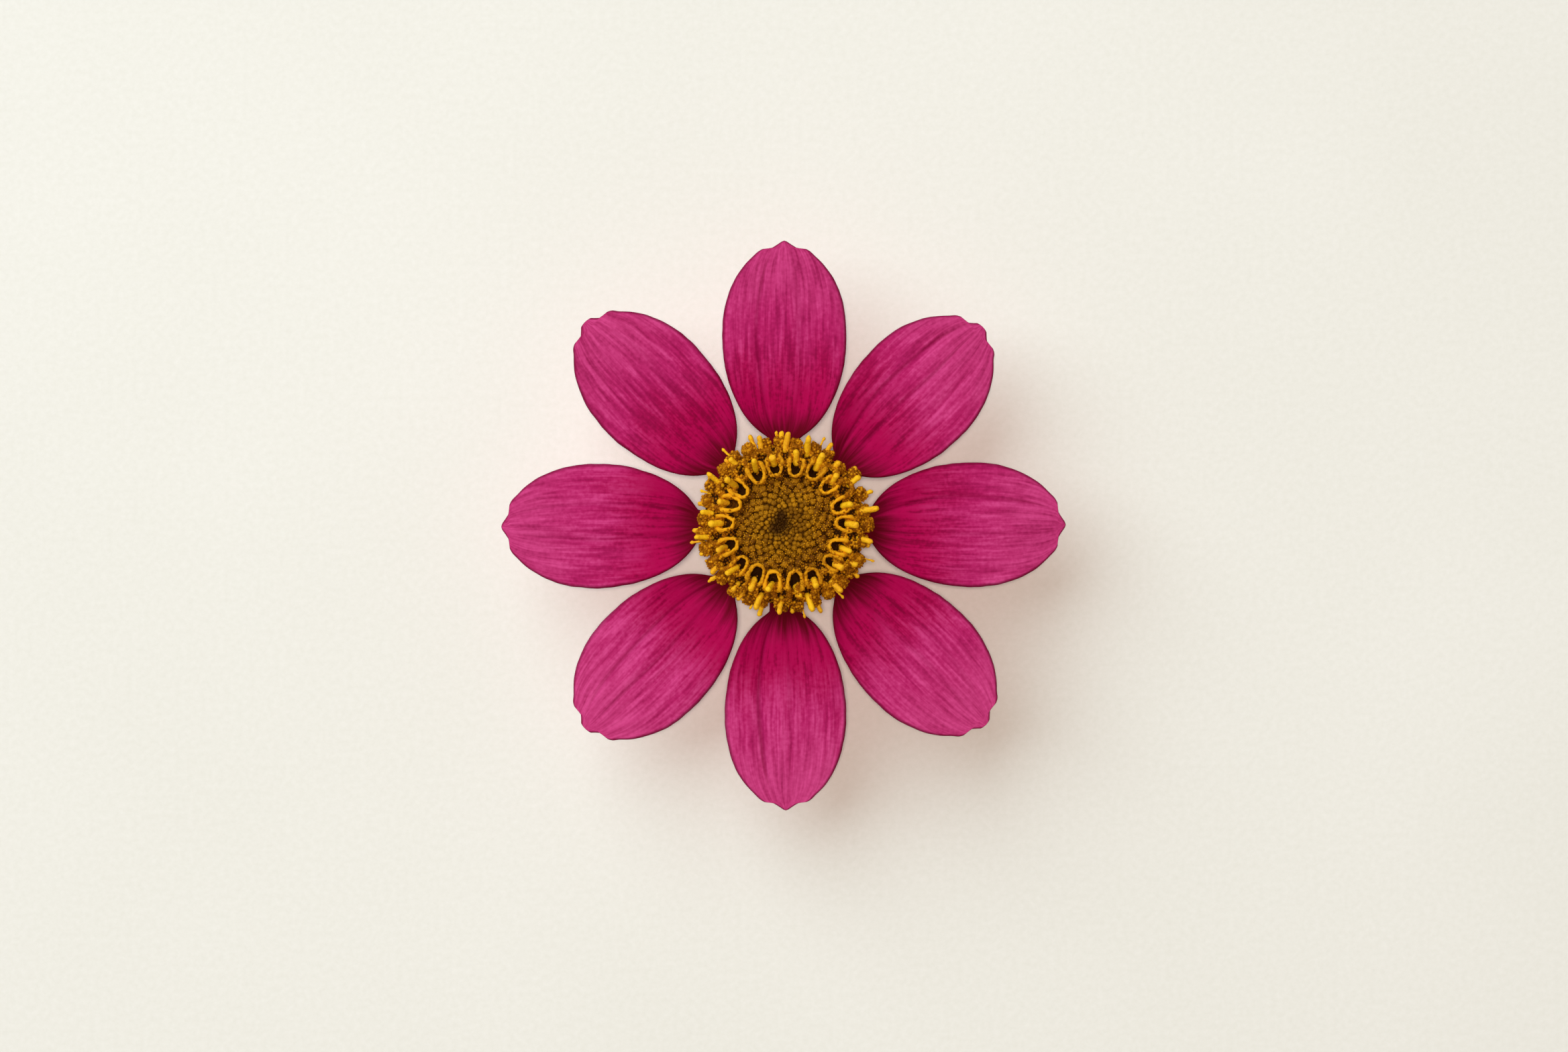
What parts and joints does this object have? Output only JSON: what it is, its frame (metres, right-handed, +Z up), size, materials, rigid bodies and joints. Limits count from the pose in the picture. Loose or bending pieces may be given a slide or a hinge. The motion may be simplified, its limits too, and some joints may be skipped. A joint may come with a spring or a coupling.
{
  "type": "zinnia flower head",
  "caption": "Open zinnia flower head picked with a short stub of stem: broad rose petals round a disc of golden florets, over a green cup of overlapping bracts.",
  "frame": {"origin": "centre of the stem's cut face, on the flower's axis, which is the surface that the flower rests on", "axes": "+Z up along the flower's axis, out of the disc; +Y along the axis of petal_3 and +X along the axis of petal_1"},
  "size_m": [0.0596, 0.0602, 0.0168],
  "materials": {
    "petal": "satin",
    "floret": "matte",
    "bud": "matte",
    "bract": "matte",
    "stem": "matte"
  },
  "bodies": {
    "root": {"stem": "stem", "involucre": "bract", "disc_florets": "floret", "disc_buds": "bud", "petal_1": "petal", "petal_2": "petal", "petal_3": "petal", "petal_4": "petal", "petal_5": "petal", "petal_6": "petal", "petal_7": "petal", "petal_8": "petal"}
  },
  "joints": []
}
